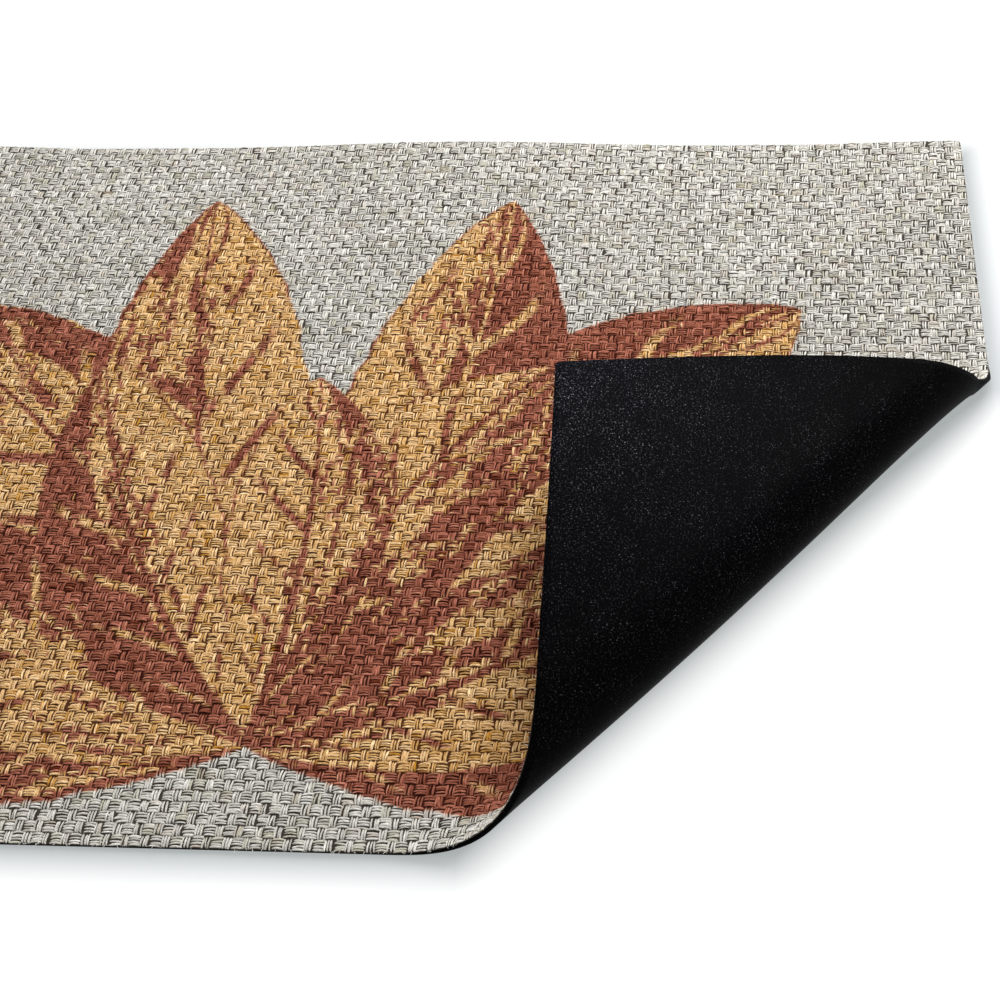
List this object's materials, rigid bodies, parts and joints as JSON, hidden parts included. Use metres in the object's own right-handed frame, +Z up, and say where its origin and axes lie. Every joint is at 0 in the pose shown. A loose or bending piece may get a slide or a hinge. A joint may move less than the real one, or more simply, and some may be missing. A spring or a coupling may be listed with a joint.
{
  "type": "doormat",
  "caption": "Rectangular doormat of printed basket-weave cloth on thin rubber, lying flat with its near right corner turned over in a springy loop.",
  "frame": {"origin": "on the floor, under the middle of the mat as it lies", "axes": "+X along the mat's length towards the turned-over corner's end, +Y across the mat away from that corner, +Z up"},
  "size_m": [0.771, 0.4752, 0.0738],
  "materials": {
    "woven_cloth": "coarse basket weave of heathered warm white and grey yarns, matt, printed with gold and rust-brown leaves",
    "rubber": "thin matt black rubber with a fine dusty grain"
  },
  "bodies": {
    "root": {"rubber_backing": "rubber", "woven_face": "woven_cloth"}
  },
  "joints": []
}
